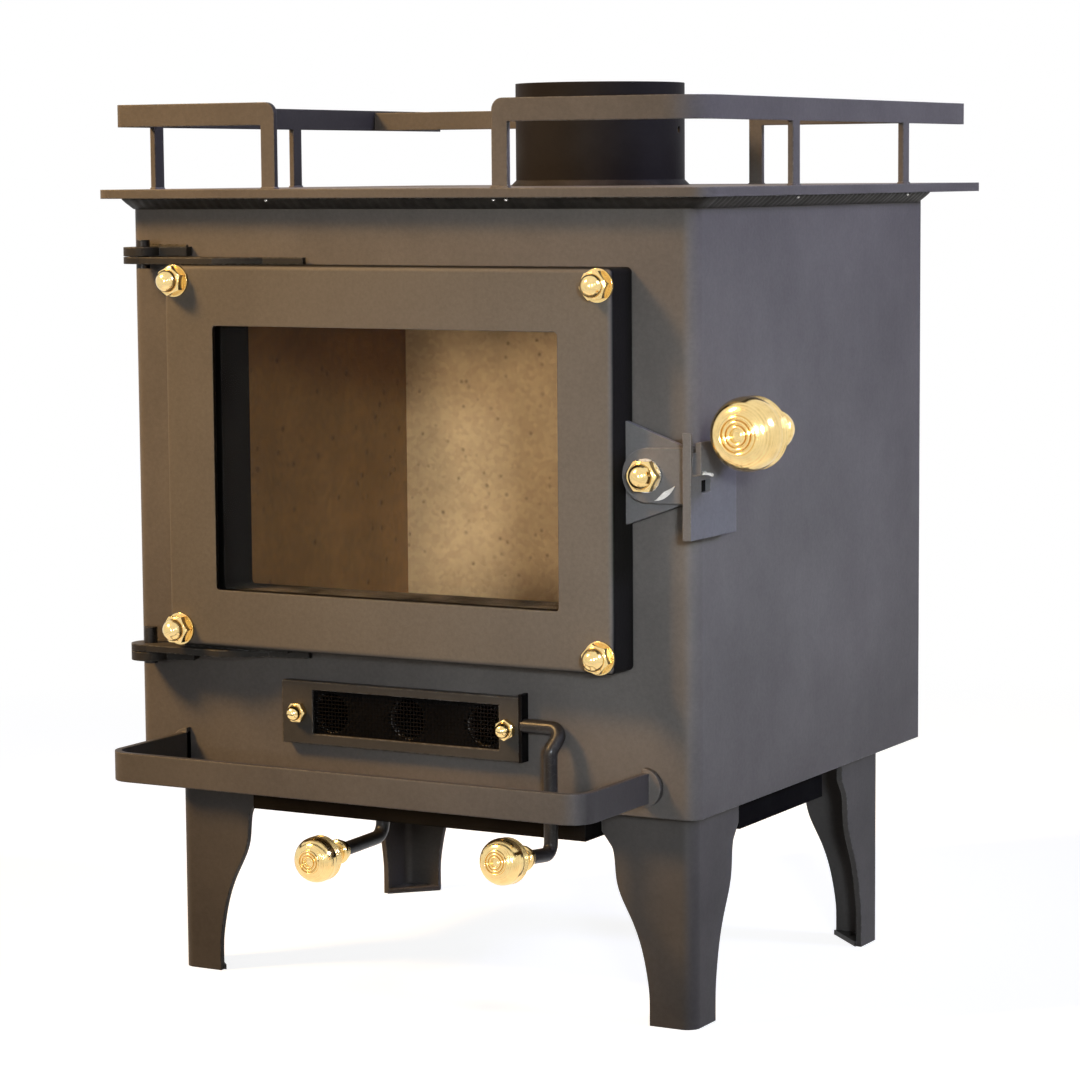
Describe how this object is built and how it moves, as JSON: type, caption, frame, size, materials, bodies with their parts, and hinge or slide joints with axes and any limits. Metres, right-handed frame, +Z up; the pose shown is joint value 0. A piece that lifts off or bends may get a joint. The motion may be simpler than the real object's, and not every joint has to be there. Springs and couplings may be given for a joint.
{
  "type": "wood stove",
  "caption": "small steel wood stove on four bent legs with a glazed hinged door, lever latch, sliding air controls, flue collar and a rail round the cooking plate",
  "frame": {"origin": "centre of the four floor bolt holes, on the floor under the feet", "axes": "+Z up, the door faces -Y, +X to the right as seen from the front"},
  "size_m": [0.3439, 0.3405, 0.401],
  "materials": {
    "stove_paint": "matt high-temperature paint",
    "door_paint": "matt high-temperature paint",
    "latch_paint": "matt high-temperature paint",
    "dark_steel": "black oxide",
    "brass": "polished",
    "bright_steel": "zinc plated",
    "window": "clear heat-proof glass",
    "rope": "braided glass fibre",
    "lining_board": "pressed insulating board, sooted",
    "cast_iron": "as cast",
    "spark_mesh": "heat darkened woven wire"
  },
  "bodies": {
    "stove_body": {"body_shell": "stove_paint", "back_panel": "stove_paint", "base_plate": "stove_paint", "hearth_plate": "dark_steel", "fire_grate": "cast_iron", "floor_lining": "lining_board", "lining_left": "lining_board", "lining_right": "lining_board", "lining_back": "lining_board", "baffle": "lining_board", "air_duct": "dark_steel", "opening_frame": "dark_steel", "top_weld": "stove_paint", "top_plate": "stove_paint", "flue_collar": "stove_paint", "rail_left": "stove_paint", "rail_right": "stove_paint", "rail_cross_left": "stove_paint", "rail_cross_right": "stove_paint", "leg_front_left": "stove_paint", "leg_front_right": "stove_paint", "leg_rear_left": "stove_paint", "leg_rear_right": "stove_paint", "floor_tray": "stove_paint", "ash_lip": "stove_paint", "hinge_lug_top": "stove_paint", "hinge_lug_bottom": "stove_paint", "hinge_pin_top": "bright_steel", "hinge_pin_bottom": "bright_steel", "catch_pin": "bright_steel", "air_frame": "stove_paint", "air_mesh": "spark_mesh", "air_studs": "bright_steel", "air_nuts": "brass"},
    "door": {"door_pan": "door_paint", "window_glass": "window", "glass_tape": "rope", "glass_retainer": "dark_steel", "door_rope": "rope", "door_bolts": "dark_steel", "door_washers": "brass", "door_nuts": "brass", "hinge_strap_top": "door_paint", "hinge_strap_bottom": "door_paint", "latch_bracket": "door_paint", "latch_bolt": "dark_steel", "latch_washer": "bright_steel", "latch_nut": "brass"},
    "latch": {"latch_arm": "latch_paint", "latch_cheek": "latch_paint", "handle_rod": "dark_steel", "door_knob": "brass"},
    "air_control": {"air_slider": "dark_steel", "air_rod": "dark_steel", "air_knob": "brass"},
    "floor_damper": {"damper_plate": "dark_steel", "damper_rod": "dark_steel", "damper_knob": "brass"}
  },
  "joints": [
    {"name": "door_hinge", "type": "hinge", "parent": "stove_body", "child": "door", "pos_m": [-0.1258, -0.12485, 0.237], "axis": [0, 0, -1], "range_deg": [0, 110]},
    {"name": "latch_pivot", "type": "hinge", "parent": "door", "child": "latch", "pos_m": [0.1227, -0.12335, 0.2367], "axis": [0, -1, 0], "range_deg": [0, 12]},
    {"name": "air_slide", "type": "slide", "parent": "stove_body", "child": "air_control", "axis": [1, 0, 0], "range_m": [0, 0.02]},
    {"name": "damper_slide", "type": "slide", "parent": "stove_body", "child": "floor_damper", "axis": [1, 0, 0], "range_m": [0, 0.018]}
  ]
}
